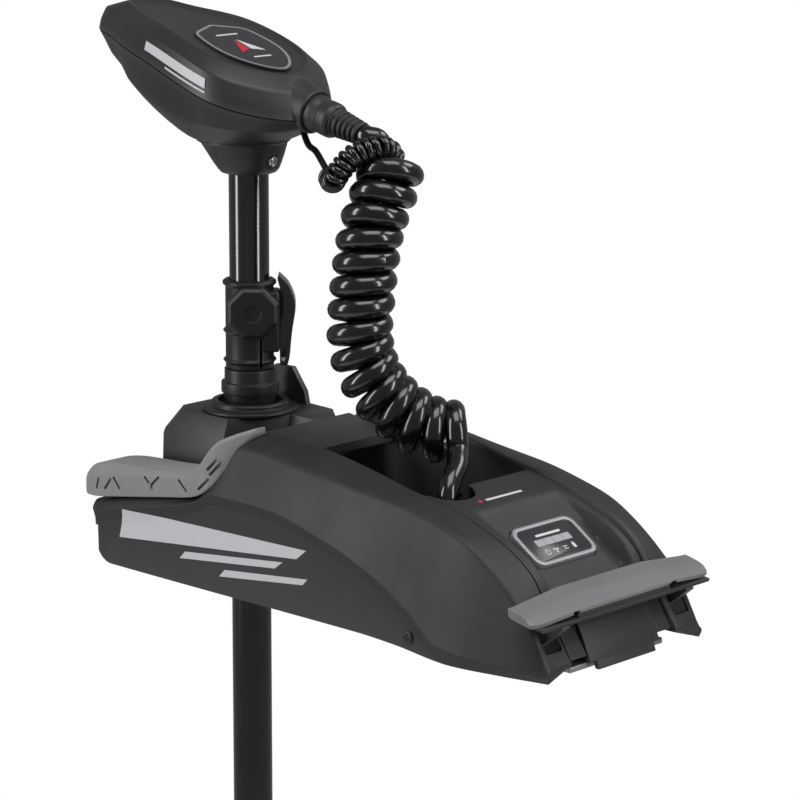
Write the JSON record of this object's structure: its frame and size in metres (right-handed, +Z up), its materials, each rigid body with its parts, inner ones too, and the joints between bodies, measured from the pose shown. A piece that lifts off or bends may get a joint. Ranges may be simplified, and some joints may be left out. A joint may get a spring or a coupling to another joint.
{
  "type": "bow-mount trolling motor",
  "caption": "Foot-latched bow mount with a tilting steering head, sliding mast, coiled cords and a submerged electric motor with propeller.",
  "frame": {"origin": "centre of the deck mount's flat underside", "axes": "+Z up, +X inboard from the mast towards the foot pedal, Y across the boat"},
  "size_m": [0.523, 0.233, 1.4812],
  "materials": {
    "cover_plastic": "textured charcoal",
    "gloss_black": "glossy black coating",
    "rest_rubber": "mid-grey, matt",
    "cord_jacket": "glossy black jacket",
    "black_rubber": "black, satin",
    "aluminium": "cast and machined",
    "stainless": "stainless, satin",
    "silver_frame": "silver paint",
    "dark_lens": "smoked, glossy",
    "circuit_green": "solder mask",
    "brass": "machined",
    "bronze": "copper and bronze",
    "ferrite": "dark, matt",
    "nylon": "natural nylon"
  },
  "bodies": {
    "base": {"mount_frame": "aluminium", "near_side_cover": "cover_plastic", "far_side_cover": "cover_plastic", "near_motor_rest": "rest_rubber", "far_motor_rest": "rest_rubber", "dash_cover": "cover_plastic", "display_bezel": "silver_frame", "display_lens": "dark_lens", "indicator_board": "circuit_green", "end_flap": "cover_plastic", "motor_controller": "aluminium", "cord_gland": "black_rubber", "hinge_pin": "stainless", "near_hinge_bush": "nylon", "far_hinge_bush": "nylon", "latch_pin": "stainless", "pedal_spring": "stainless", "main_cord_coil": "cord_jacket", "main_cord_lead": "cord_jacket", "sensor_cord_lower": "cord_jacket"},
    "carriage": {"steering_housing": "cover_plastic", "top_flange": "gloss_black", "carriage_bracket": "aluminium", "steering_motor": "aluminium", "lower_sleeve_bearing": "stainless", "upper_sleeve_bearing": "stainless"},
    "worm": {"steering_worm": "brass"},
    "sleeve": {"drive_sleeve": "black_rubber", "worm_wheel": "brass"},
    "column": {"mast_tube": "gloss_black", "head_lower_cover": "cover_plastic", "head_upper_cover": "cover_plastic", "head_label": "dark_lens", "compass_board": "circuit_green", "rear_neck_screw": "stainless", "front_neck_screw": "stainless", "gland_nut": "gloss_black", "strain_relief": "black_rubber", "motor_housing": "gloss_black", "nose_cone": "gloss_black", "end_bell": "gloss_black", "skeg": "gloss_black", "magnet_ring": "ferrite", "brush_ring": "bronze", "nose_bearing": "stainless", "tail_bearing": "stainless", "sensor_cord_lead": "cord_jacket", "sensor_cord_upper": "cord_jacket", "main_cord_start": "cord_jacket"},
    "collar": {"depth_collar": "black_rubber", "lever_pin": "stainless"},
    "lever": {"clamp_lever": "gloss_black"},
    "propulsor": {"armature": "bronze", "propeller": "gloss_black", "drive_pin": "stainless", "prop_nut": "stainless"},
    "pedal": {"pedal_lever": "stainless", "pedal_pad": "rest_rubber"},
    "rod": {"release_rod": "stainless"},
    "latch": {"latch_hook": "stainless"}
  },
  "joints": [
    {"name": "stow_tilt", "type": "hinge", "parent": "base", "child": "carriage", "pos_m": [-0.14, 0, 0.05], "axis": [0, 1, 0], "range_deg": [0, 90], "deforming": ["main_cord_start", "main_cord_coil", "main_cord_lead", "sensor_cord_lead", "sensor_cord_upper", "sensor_cord_lower"]},
    {"name": "steering", "type": "hinge", "parent": "carriage", "child": "sleeve", "pos_m": [-0.21, 0, 0.121], "axis": [0, 0, 1], "range_deg": [-170, 170]},
    {"name": "mast_slide", "type": "slide", "parent": "sleeve", "child": "column", "axis": [0, 0, 1], "range_m": [0, 0.3]},
    {"name": "worm_spin", "type": "hinge", "parent": "carriage", "child": "worm", "pos_m": [-0.21, 0.0375, 0.09], "axis": [1, 0, 0], "range_deg": [-2040, 2040]},
    {"name": "propeller_spin", "type": "hinge", "parent": "column", "child": "propulsor", "pos_m": [-0.06, 0, -0.935], "axis": [1, 0, 0], "continuous": true},
    {"name": "collar_slide", "type": "slide", "parent": "column", "child": "collar", "axis": [0, 0, 1], "range_m": [0, 0.06]},
    {"name": "clamp_lever_swing", "type": "hinge", "parent": "collar", "child": "lever", "pos_m": [-0.19135, 0.01739, 0.161], "axis": [-0.682, 0.7314, 0], "range_deg": [0, 100]},
    {"name": "foot_pedal", "type": "hinge", "parent": "base", "child": "pedal", "pos_m": [0.124, 0, 0.021], "axis": [0, 1, 0], "range_deg": [0, 12], "stiffness_Nm_per_rad": 1.5, "springref_deg": -20.05},
    {"name": "release_slide", "type": "slide", "parent": "base", "child": "rod", "axis": [-1, 0, 0], "range_m": [0, 0.0023]},
    {"name": "latch_swing", "type": "hinge", "parent": "base", "child": "latch", "pos_m": [-0.098, 0.016, 0.026], "axis": [0, 1, 0], "range_deg": [0, 8.5]}
  ],
  "couplings": [
    {"joint": "mast_slide", "follows": "stow_tilt", "m_per_rad": 0.1909},
    {"joint": "worm_spin", "follows": "steering", "ratio": 12},
    {"joint": "release_slide", "follows": "foot_pedal", "m_per_rad": 0.0105},
    {"joint": "latch_swing", "follows": "foot_pedal", "ratio": 0.7}
  ]
}
